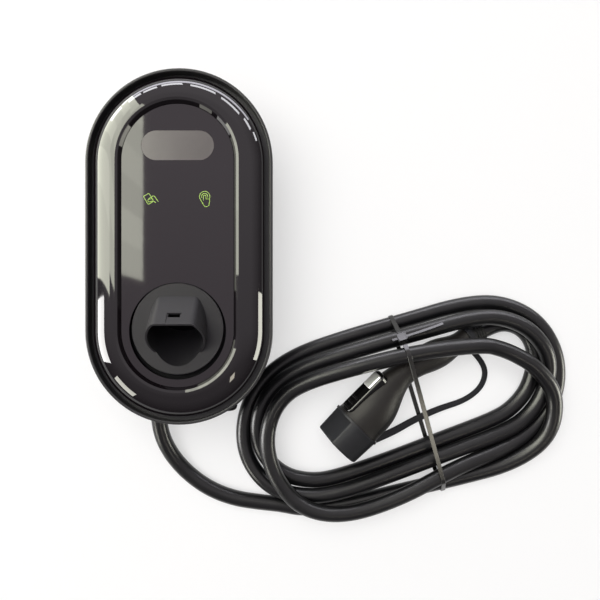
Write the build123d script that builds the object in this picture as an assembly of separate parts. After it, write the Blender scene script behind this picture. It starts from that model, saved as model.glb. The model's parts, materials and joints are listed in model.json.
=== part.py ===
from build123d import *
import math
import os

# Wall charger for electric cars, lying on its back, with its charging cable coiled and tied beside it.
# Millimetres. The origin is the middle of the back, +X right, +Y to the case's top, +Z out of the front.

# Case outline and depths
case_width = 187.0
case_height = 356.0
shell_inset = 10.5
shell_draft = 3.0
shell_depth = 58.0
shell_wall = 3.0
shell_edge = 6.0
shell_flange = 8.0
shell_flange_thick = 4.0
gland_flat_inset = 21.5
gasket_thick = 1.5

# Front frame, a skirted ring round the cover
rim_height = 96.0
rim_wall = 3.2
rim_edge = 1.1
skirt_draft = 1.3
frame_plate = 3.0
frame_inset = 11.0
deck_depth = 11.0

# Gloss cover and panel
cover_groove = 5.3
cover_wall = 2.8
cover_side = 10.0
crest_height = 107.0
crest_share = 0.7153
dome_share = 0.72
dome_push = 2.0
crest_drop = 0.7
panel_step = 0.4
crest_width = 2.55
opening_slope = 2.85
panel_top = 102.0
panel_thick = 3.0
panel_gap = 0.3
ledge_width = 2.1
ledge_thick = 2.6

# Display window and what is behind the panel
window_length = 71.7
window_width = 29.3
window_rise = 14.5
window_gap = 0.15
window_step = 0.1
control_board_length = 90.0
control_board_drop = 24.0
control_board_edge = 5.0
control_board_z = 86.0
board_thick = 1.6
panel_boss_inset = 12.3
panel_boss_drop = (63.0, 21.0)
panel_boss_radius = 4.0
icon_inset = 14.0
icon_drop = 53.0
touch_pad_radius = 6.0
antenna_size = (20.0, 30.0)
antenna_thick = 1.2

# Plug holster, a D shaped socket that leans 45 degrees down
holster_inset = 7.5
holster_disc_gap = 2.5
holster_disc_shift = 2.3
holster_disc_top = 101.5
holster_flange_gap = 0.3
holster_flange_thick = 6.0
holster_groove = 4.0
holster_lean = 45.0
mouth_drop = 8.7
mouth_z = 113.8
socket_radius = 27.0
socket_flat = 19.6
socket_corner = 5.0
socket_wall = 2.0
socket_depth = 40.0
latch_width = 14.0
latch_length = 13.0
latch_start = 2.5
latch_depth = 1.0
latch_slot = (11.5, 5.0)

# Screws
screw_gap = 0.15
case_screw_radius = 2.0
case_screw_head = 3.8
case_screw_head_thick = 3.5
case_screw_bite = 9.0
case_screw_seat = 44.0
case_pillar_radius = 5.0
case_screw_inset = 12.0
case_screw_y = 30.0
case_screw_turn = math.radians(55)
board_screw_radius = 1.5
board_screw_head = 2.9
board_screw_head_thick = 2.0
board_screw_reach = 8.0
holster_screw_radius = 1.1
holster_screw_head = 2.2
holster_screw_head_thick = 1.6
holster_screw_bite = 2.0

# Wall fixing holes in the back
wall_hole_radius = 2.75
wall_hole_inset = 22.0
wall_hole_rise = 15.5
wall_boss_radius = 6.0
wall_boss_height = 7.0

# Main board and what it carries
main_board_width = 100.0
main_board_share = 0.534
main_board_y = 20.0
main_board_edges = (7.0, 15.0)
main_board_z = 14.0
standoff_radius = 4.0
standoff_x = 44.0
standoff_edges = (3.5, 7.0)
terminal_size = (46.0, 20.0, 24.0)
terminal_x = 25.0
terminal_poles = 5
terminal_pitch = 8.6
terminal_hole_radius = 3.2
terminal_hole_depth = 9.0
terminal_hole_height = 10.0
relay_size = (30.0, 34.0, 27.0)
relay_x = 20.0
relay_edge = 1.5
sensor_radius = 14.0
sensor_hole_radius = 8.0
sensor_length = 12.0
sensor_x = -25.0
varistor_radius = 7.0
varistor_thick = 4.5
varistor_pitch = 9.0
varistor_x = 16.0
supply_size = (52.0, 34.0, 22.0)
supply_edge = 2.0
header_size = (30.0, 8.0, 9.0)
ribbon_width = 24.0
ribbon_thick = 1.0

# Cable glands
gland_side = 19.7
gland_z = 28.0
gland_thread_radius = 12.5
gland_thread_gap = 0.2
gland_thread_in = 14.0
gland_hex = 30.0
gland_hex_thick = 7.0
gland_neck = 9.0
gland_seal_wall = 2.0
gland_nut_radius = 15.5
gland_nut_end = 26.0
gland_nut_round = 5.0
gland_nut_flutes = 12
gland_flute_radius = 1.6
gland_bore_radius = 9.6
gland_mouth_radius = 10.6
locknut_hex = 29.0
locknut_thick = 5.0
supply_bore_radius = 8.5

# Charging cable
cable_radius = 8.75
cable_gap = 0.3
wire_radius = 2.2
wire_ring = 5.2
arc_share = 0.45
# How far the lead goes in and out of the gland flat, and its way on over the floor
lead_in = 3.5
lead_out = 26.0
lead_floor = [
    (-127.1, -116.5, 22.0),
    (-115.7, -142.5, 13.5),
    (-96.7, -164.3, 9.0),
    (-72.7, -180.5, 8.75),
    (-45.4, -190.4, 8.75),
    (-16.6, -193.4, 8.75),
    (11.5, -189.5, 8.75),
]

# What lies beside the case (coil, tie, plug, strap) is measured from beside_case, a point at the case's
# right side, level with the middle of its lower end.
# Coil of the cable, between an outer and an inner outline, each the hull of a few circles (x, y, radius)
coil_outer = [(54.5, -115.5, 99.0), (236.5, -53.5, 94.0)]
coil_inner = [(33.5, -110.5, 34.0), (78.5, -118.5, 37.0), (236.5, -53.5, 40.0)]
coil_height = 36.0
coil_top_edge = 12.0
coil_bottom_edge = 4.0
hump_height = 64.0
hump_centre = (153.5, -19.5)
hump_length = 190.0
hump_width = 38.0
hump_edge = 6.0

# Tie round the coil, a loop in an upright plane
tie_centre = (162.0, -78.1)
tie_heading = -73.3
tie_width = 4.8
tie_thick = 1.3
tie_gap = 0.4
tie_half_length = 98.4
tie_loop = [
    (-tie_half_length, 1.5),
    (-tie_half_length, 34.0),
    (-84.0, 66.0),
    (-40.0, 66.0),
    (80.0, 38.2),
    (tie_half_length, 33.5),
    (tie_half_length, 1.5),
]
tie_corner = 3.0
tie_head = (9.0, 8.0, 5.5)
tie_head_at = -66.0
tie_tail = 7.0

# Charging plug, a hand grip on a straight barrel with a bent handle
plug_rim = (88.6, -104.3, 30.0)
plug_heading = 45.0
plug_roll = 58.0
plug_bend = 22.0
barrel_length = 93.0
grip_length = 66.0
relief_length = 22.0
nose_radius = 24.6
nose_flat = 18.6
nose_corner = 4.0
nose_front = 26.0
nose_seat = 10.0
nose_gap = 0.2
pin_radius = 2.6
pin_hole_radius = 3.6
pin_hole_depth = 20.0
pin_length = 14.0
pin_places = [(0.0, 0.0), (-9.4, 0.0), (9.4, 0.0), (-5.2, -9.2), (5.2, -9.2), (-5.0, 9.0), (5.0, 9.0)]
barrel_start = 3.0
# Grip sections: place along the barrel as a share of its length (or along the handle), half width,
# half height, shift towards the button side
barrel_sections = [
    (barrel_start / barrel_length, 27.6, 27.4, 0.0),
    (0.172, 26.8, 26.4, 0.0),
    (0.3656, 25.0, 25.4, 0.4),
    (0.6667, 16.8, 17.4, 4.6),
]
handle_sections = [(8.0, 14.8, 15.4, 1.8), (38.0, 15.0, 15.2, 0.8), (66.0, 13.4, 13.2, 0.0)]
grip_split = -6.0
grip_insert = (11.0, barrel_length - 9.0)
insert_gap = 0.2
top_insert = (5.0, barrel_length - 32.0)
top_insert_width = 19.0
top_insert_floor = 17.0
top_insert_height = 28.4
top_insert_edge = 2.0
thumb_rib_count = 3
thumb_rib_first = 9.0
thumb_rib_size = (2.6, 13.0, 1.2)
button_at = (barrel_length - 54.0, barrel_length - 36.0)
button_width = 14.0
button_top = 30.0
button_travel = 3.0
button_gap = 0.3
button_low = 20.4
button_edge = 2.0
switch_size = (12.0, 7.0, 6.0)
relief_seat = 8.0
relief_seat_radius = 10.5
relief_front_radius = 12.4
relief_end_radius = 10.6
relief_grooves = 4
relief_groove = (2.2, 1.4)

# Dust cap on the nose
cap_length = 30.0
cap_front_radius = 27.0
cap_rim_radius = 29.4
cap_wall = 2.2
cap_rim_thick = 2.6
cap_gap = 0.3
cap_edge = 2.5
cap_tab = (10.0, 5.0)

# Strap between the cap and the plug's tail
strap_width = 7.0
strap_thick = 2.0
strap_ring_thick = 2.4
strap_ring_width = 6.0
strap_ring_at = 4.0
strap_route = [
    (112.5, -122.5, 11.0),
    (132.5, -115.5, 6.5),
    (155.5, -102.5, 4.6),
    (185.5, -89.0, 3.4),
    (215.5, -77.5, 2.0),
    (233.5, -59.5, 1.8),
    (234.5, -36.5, 2.6),
    (219.1, -18.5, 6.2),
]

# Sizes that follow from the ones above
end_offset = (case_height - case_width) / 2
case_radius = case_width / 2
shell_front_radius = case_radius - shell_inset
shell_back_radius = shell_front_radius - shell_draft
flange_radius = shell_front_radius - shell_flange
frame_inner_radius = shell_front_radius - frame_inset
frame_base = shell_depth + gasket_thick
deck_top = rim_height - deck_depth
rim_inner_radius = case_radius - rim_wall
cover_radius = rim_inner_radius - cover_groove
crest_radius = crest_share * cover_radius
opening_radius = crest_radius - crest_width
panel_radius = opening_radius - opening_slope
panel_back = panel_top - panel_thick
ledge_radius = panel_radius - ledge_width
window_y = end_offset + window_rise
icon_y = window_y - icon_drop
panel_boss_x = ledge_radius - panel_boss_inset
icon_x = panel_boss_x - icon_inset
control_board_size = (2 * (panel_boss_x + control_board_edge), control_board_length, board_thick)
control_board_y = window_y - control_board_drop
control_top = control_board_z + board_thick
holster_y = -end_offset
holster_hole_radius = panel_radius - holster_inset
holster_disc_radius = holster_hole_radius - holster_disc_gap
holster_flange_radius = ledge_radius - holster_flange_gap
holster_screw_line = (holster_hole_radius + holster_flange_radius) / 2
mouth_y = holster_y - mouth_drop
case_screw_line = shell_front_radius - case_screw_inset
wall_hole_x = shell_back_radius - wall_hole_inset
wall_hole_y = end_offset + wall_hole_rise
gland_flat_y = -(end_offset + shell_front_radius - gland_flat_inset)
gland_flat_half = math.sqrt((2 * shell_front_radius - gland_flat_inset) * gland_flat_inset)
gland_x = gland_flat_half - gland_side
beside_case = (case_radius, -end_offset)
lead_route = [
    (-gland_x, gland_flat_y + lead_in, gland_z),
    (-gland_x, gland_flat_y - lead_out, gland_z),
    *[(case_radius + x, y - end_offset, z) for x, y, z in lead_floor],
]
board_top = main_board_z + board_thick
main_board_length = main_board_share * case_height
board_low = main_board_y - main_board_length / 2
board_high = main_board_y + main_board_length / 2
switch_top = button_low - button_travel - button_gap
thumb_rib_pitch = (button_at[0] - thumb_rib_first) / (thumb_rib_count + 1.6)
far = 400.0

# Rows on the main board, from its lower edge up with equal gaps
row_depths = (terminal_size[1], 2 * varistor_radius, relay_size[1], supply_size[1], header_size[1])
row_gap = (main_board_length - sum(main_board_edges) - sum(row_depths)) / (len(row_depths) - 1)
row_places = [
    board_low + main_board_edges[0] + sum(row_depths[:row]) + row * row_gap + depth / 2
    for row, depth in enumerate(row_depths)
]
terminal_y, sensor_y, relay_y, supply_y, header_y = row_places


def capsule(radius):
    return SlotOverall(2 * (end_offset + radius), 2 * radius, rotation=90)


def capsule_sweep(profile):
    """Carries a profile (x out from the middle line, y up) round the case's outline."""
    upright = Plane.XZ * profile
    side = extrude(upright, amount=end_offset, both=True)
    end = revolve(Pos(0, end_offset, 0) * upright, Axis((0, end_offset, 0), (0, 0, 1)), revolution_arc=180)
    return side + mirror(side, about=Plane.YZ) + end + Rot(0, 0, 180) * end


def polygon(points):
    return make_face(Polyline(*points, close=True))


def above(y):
    return Pos(0, y + far, 0) * Box(2 * far, 2 * far, 2 * far)


def upright_cylinder(x, y, radius, low, high):
    return Pos(x, y, low) * Cylinder(radius, high - low, align=(Align.CENTER, Align.CENTER, Align.MIN))


def standing_box(x, y, low, size):
    return Pos(x, y, low) * Box(*size, align=(Align.CENTER, Align.CENTER, Align.MIN))


def d_outline(radius, flat, corner):
    disc = Circle(radius) & Pos(0, (flat - radius) / 2) * Rectangle(2 * radius, flat + radius)
    return fillet(disc.vertices(), corner)


def hull_of(circles):
    return make_hull([edge for x, y, r in circles for edge in (Pos(x, y) * Circle(r)).edges()])


def arc_radii(route):
    """One arc for each corner of a cord's route, as large as its two runs allow."""
    radii = []
    for before, at, after in zip(route, route[1:], route[2:]):
        first = Vector(*at) - Vector(*before)
        second = Vector(*after) - Vector(*at)
        half_turn = math.radians(first.get_angle(second)) / 2
        radii.append(arc_share * min(first.length, second.length) / math.tan(half_turn))
    return radii


def cord_path(route):
    return FilletPolyline(*route, radius=arc_radii(route))


def cord_tube(route, radius):
    path = cord_path(route)
    return sweep(Plane(path @ 0, z_dir=path % 0) * Circle(radius), path)


def screw(x, y, seat, radius, head_radius, head_thick, reach):
    """A screw driven towards +Z, its head under the seat."""
    head = upright_cylinder(x, y, head_radius, seat - head_thick, seat)
    return head + upright_cylinder(x, y, radius, seat, seat + reach)


case_screw_top = (
    case_screw_line * math.cos(case_screw_turn),
    end_offset + case_screw_line * math.sin(case_screw_turn),
)
case_screw_places = [
    (side * x, y)
    for side in (-1, 1)
    for x, y in ((case_screw_line, case_screw_y), (case_screw_line, -end_offset), case_screw_top)
]
wall_places = [(sx * wall_hole_x, sy * wall_hole_y) for sx in (-1, 1) for sy in (-1, 1)]
standoff_rows = (board_low + standoff_edges[0], main_board_y, board_high - standoff_edges[1])
standoff_places = [(side * standoff_x, y) for side in (-1, 1) for y in standoff_rows]
panel_boss_places = [(side * panel_boss_x, window_y - drop) for side in (-1, 1) for drop in panel_boss_drop]
holster_screw_places = [
    (holster_screw_line * math.cos(turn), holster_y + holster_screw_line * math.sin(turn))
    for turn in map(math.radians, (35, 145, 215, 325))
]
gland_planes = {
    "outlet": Plane((-gland_x, gland_flat_y, gland_z), x_dir=(1, 0, 0), z_dir=(0, -1, 0)),
    "supply": Plane((gland_x, gland_flat_y, gland_z), x_dir=(1, 0, 0), z_dir=(0, -1, 0)),
}


def back_shell():
    outline = polygon(
        [(0, 0), (shell_back_radius, 0), (shell_front_radius, shell_depth), (0, shell_depth)]
    )
    corner = outline.vertices().sort_by(Axis.X)[-2:].sort_by(Axis.Y)[0]
    body = capsule_sweep(fillet(corner, shell_edge)) & above(gland_flat_y)
    room_top = shell_depth - shell_flange_thick
    room = polygon(
        [
            (0, shell_wall),
            (shell_back_radius - shell_wall, shell_wall),
            (shell_front_radius - shell_wall, room_top),
            (0, room_top),
        ]
    )
    body -= capsule_sweep(room) & above(gland_flat_y + shell_wall)
    mouth = Pos(0, 0, room_top) * extrude(capsule(flange_radius), 2 * shell_flange_thick)
    body -= mouth & above(gland_flat_y + shell_flange)
    for x, y in case_screw_places:
        body += upright_cylinder(x, y, case_pillar_radius, shell_wall / 2, shell_depth)
    for x, y in standoff_places:
        body += upright_cylinder(x, y, standoff_radius, shell_wall / 2, main_board_z)
    for x, y in wall_places:
        body += upright_cylinder(x, y, wall_boss_radius, shell_wall / 2, wall_boss_height)
    for x, y in case_screw_places:
        body -= upright_cylinder(x, y, case_screw_radius + screw_gap, 0, shell_depth)
        body -= upright_cylinder(x, y, case_screw_head + screw_gap, 0, case_screw_seat)
    for x, y in standoff_places:
        body -= upright_cylinder(x, y, board_screw_radius, board_top - board_screw_reach, main_board_z)
    for x, y in wall_places:
        body -= upright_cylinder(x, y, wall_hole_radius, 0, wall_boss_height)
    for plane in gland_planes.values():
        body -= plane * Cylinder(gland_thread_radius + gland_thread_gap, 4 * shell_wall)
    return body


def shell_gasket():
    ring = extrude(capsule(shell_front_radius), gasket_thick) & above(gland_flat_y)
    ring -= extrude(capsule(flange_radius), gasket_thick) & above(gland_flat_y + shell_flange)
    return Pos(0, 0, shell_depth) * ring


def front_frame():
    wall_in = frame_inner_radius + frame_plate
    under_deck = deck_top - frame_plate
    outline = polygon(
        [
            (case_radius - skirt_draft, frame_base),
            (case_radius, deck_top),
            (case_radius, rim_height),
            (rim_inner_radius, rim_height),
            (rim_inner_radius, deck_top),
            (frame_inner_radius, deck_top),
            (frame_inner_radius, frame_base),
            (shell_front_radius, frame_base),
            (shell_front_radius, frame_base + frame_plate),
            (wall_in, frame_base + frame_plate),
            (wall_in, under_deck),
            (rim_inner_radius, under_deck),
            (rim_inner_radius - skirt_draft, frame_base),
        ]
    )
    rim_corners = outline.vertices().group_by(Axis.Y)[-1]
    body = capsule_sweep(fillet(rim_corners, rim_edge))
    floor_plate = extrude(capsule(shell_front_radius), frame_plate) - above(gland_flat_y + shell_flange)
    body += Pos(0, 0, frame_base) * floor_plate
    for x, y in case_screw_places:
        bite_top = frame_base + case_screw_bite + screw_gap
        body += upright_cylinder(x, y, case_pillar_radius, frame_base, deck_top)
        body -= upright_cylinder(x, y, case_screw_radius, frame_base, bite_top)
    return body


def front_cover():
    inner_crest = crest_height - cover_wall
    side_top = deck_top + cover_side
    ledge_low = panel_back - ledge_thick
    dome_mid = (cover_radius + crest_radius) / 2
    dome_rise = dome_share * (crest_height - side_top)
    outer = ThreePointArc(
        (cover_radius, side_top), (dome_mid + dome_push, side_top + dome_rise), (crest_radius, crest_height)
    )
    inner = ThreePointArc(
        (crest_radius, inner_crest),
        (dome_mid, side_top + dome_rise - cover_wall),
        (cover_radius - cover_wall, side_top - cover_wall / 2),
    )
    outline = outer + Polyline(
        outer @ 1,
        (opening_radius, crest_height - crest_drop),
        (panel_radius + panel_gap, panel_top - panel_step),
        (panel_radius + panel_gap, panel_back),
        (ledge_radius, panel_back),
        (ledge_radius, ledge_low),
        (panel_radius + cover_wall / 2, ledge_low),
        inner @ 0,
    )
    outline += inner
    foot = [(cover_radius - cover_wall, deck_top), (cover_radius, deck_top)]
    outline += Polyline(inner @ 1, *foot, outer @ 0)
    return capsule_sweep(make_face(outline.edges()))


def window_outline(gap=0.0):
    return Pos(0, window_y) * SlotOverall(window_length + 2 * gap, window_width + 2 * gap)


def front_panel():
    plate = extrude(capsule(panel_radius), panel_thick)
    plate -= extrude(window_outline(window_gap), panel_thick)
    plate -= extrude(Pos(0, holster_y) * Circle(holster_hole_radius), panel_thick)
    body = Pos(0, 0, panel_back) * plate
    for x, y in panel_boss_places:
        body += upright_cylinder(x, y, panel_boss_radius, control_top, panel_back + panel_thick / 3)
        body -= upright_cylinder(x, y, board_screw_radius, control_top, control_board_z + board_screw_reach)
    for x, y in holster_screw_places:
        body -= upright_cylinder(x, y, holster_screw_radius, panel_back, panel_back + holster_screw_bite)
    return body


def display_lens():
    return Pos(0, 0, panel_back) * extrude(window_outline(), panel_thick - window_step)


def display_module():
    size = (window_length + 4, window_width + 4, panel_back - control_top)
    body = standing_box(0, window_y, control_top, size)
    return chamfer(body.edges().filter_by(Axis.Z), 3)


def control_board():
    board = standing_box(0, control_board_y, control_board_z, control_board_size)
    board = fillet(board.edges().filter_by(Axis.Z), 4)
    for x, y in panel_boss_places:
        board -= upright_cylinder(x, y, board_screw_radius + screw_gap, control_board_z, control_top)
    header = standing_box(0, header_y, control_board_z - header_size[2], header_size)
    slot_size = (ribbon_width, 2 * ribbon_thick, header_size[2] / 2)
    slot = standing_box(0, header_y, control_board_z - header_size[2], slot_size)
    return board + (header - slot)


def control_board_screws():
    sizes = (board_screw_radius, board_screw_head, board_screw_head_thick, board_screw_reach)
    return [screw(x, y, control_board_z, *sizes) for x, y in panel_boss_places]


def rfid_antenna():
    place = (-icon_x + 3, icon_y, panel_back - antenna_thick)
    plate = standing_box(*place, (*antenna_size, antenna_thick))
    hole = standing_box(*place, (antenna_size[0] / 2, antenna_size[1] / 2, antenna_thick))
    return fillet((plate - hole).edges().filter_by(Axis.Z), 1.5)


def touch_pad():
    pad = upright_cylinder(icon_x, icon_y, touch_pad_radius, control_top, panel_back)
    return pad - upright_cylinder(icon_x, icon_y, touch_pad_radius / 2, control_top, panel_back)


def socket_plane():
    lean = math.radians(holster_lean)
    return Plane((0, mouth_y, mouth_z), x_dir=(1, 0, 0), z_dir=(0, -math.sin(lean), math.cos(lean)))


def holster():
    flange_low = panel_back - holster_flange_thick
    body = upright_cylinder(0, holster_y, holster_flange_radius, flange_low, panel_back)
    body -= upright_cylinder(0, holster_y, holster_hole_radius, panel_back - holster_groove, panel_back)
    disc_y = holster_y + holster_disc_shift
    disc = upright_cylinder(0, disc_y, holster_disc_radius, flange_low, holster_disc_top)
    body += fillet(disc.edges().group_by(Axis.Z)[-1], 0.8)
    mouth = socket_plane()
    outer = d_outline(socket_radius + socket_wall, socket_flat + socket_wall, socket_corner + socket_wall)
    inner = d_outline(socket_radius, socket_flat, socket_corner)
    tube = extrude(mouth * outer, -(socket_depth + socket_wall))
    trough = extrude(mouth * outer, socket_depth)
    trough &= Pos(0, 0, panel_back - far) * Box(2 * far, 2 * far, 2 * far)
    trough &= upright_cylinder(0, holster_y, holster_hole_radius, 0, far)
    body += tube + trough
    latch_face = mouth * Pos(0, socket_flat + socket_wall, -latch_start)
    latch = latch_face * Pos(0, 0, -latch_length / 2) * Box(latch_width, 2 * latch_depth, latch_length)
    slot_middle = latch_slot[1] / 2 - latch_length
    slot = latch_face * Pos(0, 0, slot_middle) * Box(latch_slot[0], 4 * socket_wall, latch_slot[1])
    body -= latch + slot
    body -= extrude(mouth * inner, 2 * socket_depth) + extrude(mouth * inner, -socket_depth)
    for x, y in holster_screw_places:
        body -= upright_cylinder(x, y, holster_screw_radius + screw_gap, flange_low, panel_back)
    return body


def holster_screws():
    seat = panel_back - holster_flange_thick
    reach = holster_flange_thick + holster_screw_bite
    sizes = (holster_screw_radius, holster_screw_head, holster_screw_head_thick, reach)
    return [screw(x, y, seat, *sizes) for x, y in holster_screw_places]


def case_screws():
    reach = frame_base - case_screw_seat + case_screw_bite
    sizes = (case_screw_radius, case_screw_head, case_screw_head_thick, reach)
    return [screw(x, y, case_screw_seat, *sizes) for x, y in case_screw_places]


def main_board():
    board = standing_box(0, main_board_y, main_board_z, (main_board_width, main_board_length, board_thick))
    board = fillet(board.edges().filter_by(Axis.Z), 5)
    for x, y in standoff_places:
        board -= upright_cylinder(x, y, board_screw_radius + screw_gap, main_board_z, board_top)
    header = standing_box(0, header_y, board_top, header_size)
    slot_low = board_top + header_size[2] / 2
    slot = standing_box(0, header_y, slot_low, (ribbon_width, 2 * ribbon_thick, header_size[2] / 2))
    return board + (header - slot)


def main_board_screws():
    screws = []
    for x, y in standoff_places:
        head = upright_cylinder(x, y, board_screw_head, board_top, board_top + board_screw_head_thick)
        stem = upright_cylinder(x, y, board_screw_radius, board_top - board_screw_reach, board_top)
        screws.append(head + stem)
    return screws


def terminal_block(x):
    block = standing_box(x, terminal_y, board_top, terminal_size)
    block = chamfer(block.edges().group_by(Axis.Z)[-1].filter_by(Axis.X), 5)
    front = terminal_y - terminal_size[1] / 2
    for pole in range(terminal_poles):
        px = x + (pole - (terminal_poles - 1) / 2) * terminal_pitch
        entry = Plane((px, front, board_top + terminal_hole_height), z_dir=(0, 1, 0))
        block -= extrude(entry * Circle(terminal_hole_radius), terminal_hole_depth)
        well_low = board_top + terminal_size[2] - terminal_hole_depth / 2
        block -= upright_cylinder(px, terminal_y, terminal_hole_radius, well_low, far)
    return block


def relays():
    blocks = []
    for side in (-1, 1):
        block = standing_box(side * relay_x, relay_y, board_top, relay_size)
        rounded = block.edges().filter_by(Axis.Z) + block.edges().group_by(Axis.Z)[-1]
        blocks.append(fillet(rounded, relay_edge))
    return blocks


def leakage_sensor():
    ring = Plane((sensor_x, sensor_y, board_top + sensor_radius), z_dir=(0, 1, 0))
    body = ring * Cylinder(sensor_radius, sensor_length) + standing_box(
        sensor_x, sensor_y, board_top, (2 * sensor_radius, sensor_length, sensor_radius)
    )
    return body - ring * Cylinder(sensor_hole_radius, 2 * sensor_length)


def varistors():
    discs = []
    for place in range(3):
        centre = (varistor_x + place * varistor_pitch, sensor_y, board_top + varistor_radius)
        disc = Plane(centre, z_dir=(1, 0, 0)) * Cylinder(varistor_radius, varistor_thick)
        discs.append(fillet(disc.edges(), varistor_thick / 3))
    return discs


def power_supply():
    block = standing_box(0, supply_y, board_top, supply_size)
    return fillet(block.edges().filter_by(Axis.Z) + block.edges().group_by(Axis.Z)[-1], supply_edge)


def ribbon_cable():
    low = board_top + header_size[2] / 2
    high = control_board_z - header_size[2] / 2
    return standing_box(0, header_y, low, (ribbon_width, ribbon_thick, high - low))


def gland_body(plane):
    thread = upright_cylinder(0, 0, gland_thread_radius, -gland_thread_in, 0)
    hexagon = extrude(RegularPolygon(gland_hex / 2, 6, major_radius=False), gland_hex_thick)
    neck_top = gland_hex_thick + gland_neck
    neck = upright_cylinder(0, 0, gland_thread_radius, 0, neck_top)
    body = thread + chamfer(hexagon.edges().filter_by(Axis.Z), 1) + neck
    body -= Cylinder(gland_bore_radius, 4 * gland_thread_in)
    seal_seat = upright_cylinder(0, 0, gland_bore_radius + gland_seal_wall / 2, gland_hex_thick, far)
    return plane * (body - seal_seat)


def gland_seal(plane, bore):
    outer = gland_bore_radius + gland_seal_wall / 2 - gland_thread_gap
    height = gland_neck + 1
    ring = upright_cylinder(0, 0, outer, gland_hex_thick, gland_hex_thick + height)
    return plane * (ring - Cylinder(bore, far))


def gland_nut(plane):
    low = gland_hex_thick + gland_thread_gap
    inside_top = gland_hex_thick + gland_neck + 1.5
    body = upright_cylinder(0, 0, gland_nut_radius, low, gland_nut_end)
    body = fillet(body.edges().group_by(Axis.Z)[-1], gland_nut_round)
    thread_room = upright_cylinder(0, 0, gland_thread_radius + gland_thread_gap, 0, inside_top)
    taper_room = Pos(0, 0, inside_top) * Cone(
        gland_bore_radius,
        gland_mouth_radius,
        gland_nut_end - inside_top,
        align=(Align.CENTER, Align.CENTER, Align.MIN),
    )
    body -= thread_room + taper_room
    for spot in PolarLocations(gland_nut_radius + gland_flute_radius / 2, gland_nut_flutes):
        body -= spot * upright_cylinder(0, 0, gland_flute_radius, low, low + gland_neck)
    return plane * body


def gland_locknuts():
    nuts = []
    for plane in gland_planes.values():
        hexagon = Pos(0, 0, -shell_wall - locknut_thick) * extrude(
            RegularPolygon(locknut_hex / 2, 6, major_radius=False, rotation=30), locknut_thick
        )
        nuts.append(plane * (hexagon - Cylinder(gland_thread_radius + gland_thread_gap, far)))
    return nuts


def outlet_wires():
    """Five conductors from the cut end of the sheath to the outlet terminals."""
    start = Vector(*lead_route[0])
    entry_y = terminal_y - terminal_size[1] / 2
    wires = []
    for pole in range(terminal_poles):
        turn = math.radians(180 - pole * 180 / (terminal_poles - 1))
        px = -terminal_x + (pole - (terminal_poles - 1) / 2) * terminal_pitch
        root = start + Vector(wire_ring * math.cos(turn), 0, wire_ring * math.sin(turn) - wire_ring / 2)
        tip = Vector(px, entry_y + terminal_hole_depth / 2, board_top + terminal_hole_height)
        path = FilletPolyline(root, root + Vector(0, 14, 0), tip - Vector(0, 20, 0), tip, radius=6)
        wires.append(sweep(Plane(path @ 0, z_dir=path % 0) * Circle(wire_radius), path))
    return wires


floor_place = Pos(*beside_case, 0)
plug_place = Pos(*plug_rim) * Rot(0, 0, plug_heading) * Rot(-plug_roll, 0, 0)
handle_place = Pos(barrel_length, 0, 0) * Rot(0, plug_bend, 0)


def grip_solid(grow=0.0):
    """The whole hand grip in the plug's own frame: x from the cap to the tail, z to the button side."""
    barrel_rows = [(share * barrel_length, *sizes) for share, *sizes in barrel_sections]
    sections = []
    for place, rows in ((Pos(0, 0, 0), barrel_rows), (handle_place, handle_sections)):
        for x, half_width, half_height, shift in rows:
            across = Plane((x, 0, shift), x_dir=(0, 1, 0), z_dir=(1, 0, 0))
            sections.append(place * (across * Ellipse(half_width + grow, half_height + grow)))
    return loft(sections)


def nose_outline(extra=0.0):
    return d_outline(nose_radius + extra, nose_flat + extra, nose_corner)


nose_plane = Plane((0, 0, 0), x_dir=(0, -1, 0), z_dir=(-1, 0, 0))


def plug_nose():
    outline = nose_plane * nose_outline()
    body = extrude(outline, nose_front) + extrude(outline, -nose_seat)
    front = nose_plane.offset(nose_front)
    for y, z in pin_places:
        body -= extrude(front * Pos(y, z) * Circle(pin_hole_radius), -pin_hole_depth)
    return plug_place * body


def plug_contacts():
    root = nose_plane.offset(nose_front - pin_hole_depth)
    pins = []
    for y, z in pin_places:
        pin = extrude(root * Pos(y, z) * Circle(pin_radius), pin_length)
        pins.append(plug_place * fillet(pin.edges().group_by(Axis.X)[0], pin_radius / 2))
    return pins


def top_insert_block(gap=0.0):
    start, end = top_insert
    block = Pos((start + end) / 2, 0, top_insert_floor) * Box(
        end - start + 2 * gap,
        top_insert_width + 2 * gap,
        top_insert_height - top_insert_floor + 2 * gap,
        align=(Align.CENTER, Align.CENTER, Align.MIN),
    )
    return fillet(block.edges().filter_by(Axis.Z), top_insert_width / 3)


def button_room(gap, low, high):
    start, end = button_at
    size = (end - start + 2 * gap, button_width + 2 * gap, high - low)
    block = standing_box((start + end) / 2, 0, low, size)
    return fillet(block.edges().filter_by(Axis.Z), button_edge)


def button_middle():
    return (button_at[0] + button_at[1]) / 2


def plug_top_insert():
    block = top_insert_block()
    block = fillet(block.edges().group_by(Axis.Z)[-1], top_insert_edge)
    for rib in range(thumb_rib_count):
        x = thumb_rib_first + rib * thumb_rib_pitch
        rib_length, rib_width, rib_height = thumb_rib_size
        ridge = Pos(x, 0, top_insert_height) * Box(rib_length, rib_width, 2 * rib_height)
        block += fillet(ridge.edges().filter_by(Axis.Y), rib_height * 0.8)
    block -= extrude(nose_plane * nose_outline(nose_gap), -nose_seat)
    block -= button_room(button_gap, top_insert_floor, far)
    return plug_place * block


def thumb_button():
    cap = button_room(0, button_low, button_top)
    cap = fillet(cap.edges().group_by(Axis.Z)[-1], button_edge * 0.8)
    return plug_place * cap


def button_switch():
    body = Pos(button_middle(), 0, switch_top) * Box(
        switch_size[0] - 2 * insert_gap,
        switch_size[1] - 2 * insert_gap,
        switch_size[2],
        align=(Align.CENTER, Align.CENTER, Align.MAX),
    )
    return plug_place * body


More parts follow.
